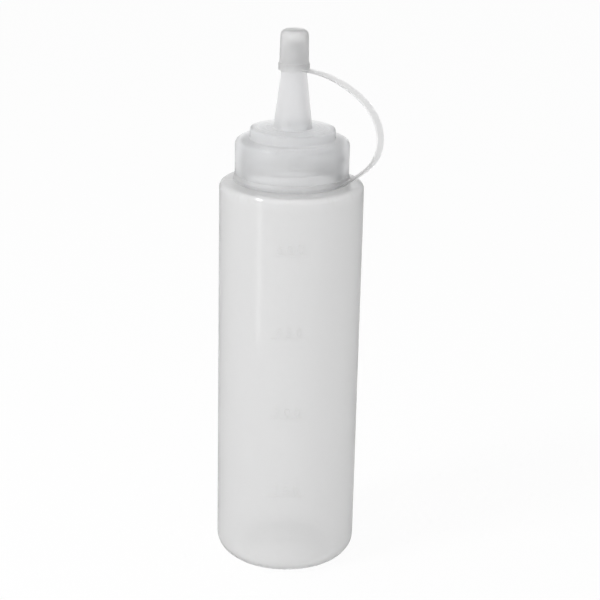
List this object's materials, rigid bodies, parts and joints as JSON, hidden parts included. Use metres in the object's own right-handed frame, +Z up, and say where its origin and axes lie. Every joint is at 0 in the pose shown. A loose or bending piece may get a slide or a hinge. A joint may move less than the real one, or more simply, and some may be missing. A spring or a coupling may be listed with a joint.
{
  "type": "squeeze sauce bottle",
  "caption": "Translucent squeeze sauce bottle with a screw-on cap that tapers to a nozzle, and a tip cap held on a curved strap.",
  "frame": {"origin": "centre of the circle that the bottle rests on, on its axis", "axes": "+Z up along the bottle's axis, from the base to the tip cap. The level marks face -Y, and the strap's bow stands out 37 degrees from +X towards -Y"},
  "size_m": [0.0772, 0.0703, 0.268],
  "materials": {
    "bottle_plastic": "natural low-density polyethylene, milky and translucent, soft waxy gloss",
    "cap_plastic": "natural low-density polyethylene, milky and translucent, satin",
    "tether_plastic": "natural low-density polyethylene, milky and translucent, satin"
  },
  "bodies": {
    "bottle": {"bottle": "bottle_plastic"},
    "tether": {"tether_ring": "tether_plastic", "tether_strap": "tether_plastic"},
    "nozzle_cap": {"nozzle_cap": "cap_plastic"},
    "tip_cap": {"tip_cap": "tether_plastic"}
  },
  "joints": [
    {"name": "cap_lift", "type": "slide", "parent": "bottle", "child": "tether", "axis": [0, 0, 1], "range_m": [0, 0.00631]},
    {"name": "cap_turn", "type": "hinge", "parent": "tether", "child": "nozzle_cap", "pos_m": [0, 0, 0.205], "axis": [0, 0, 1], "range_deg": [0, 540]},
    {"name": "tip_cap_pull", "type": "slide", "parent": "tether", "child": "tip_cap", "axis": [0, 0, 1], "range_m": [0, 0.016], "deforming": ["tether_strap"]}
  ],
  "couplings": [
    {"joint": "cap_lift", "follows": "cap_turn", "m_per_rad": 0.00066845}
  ]
}
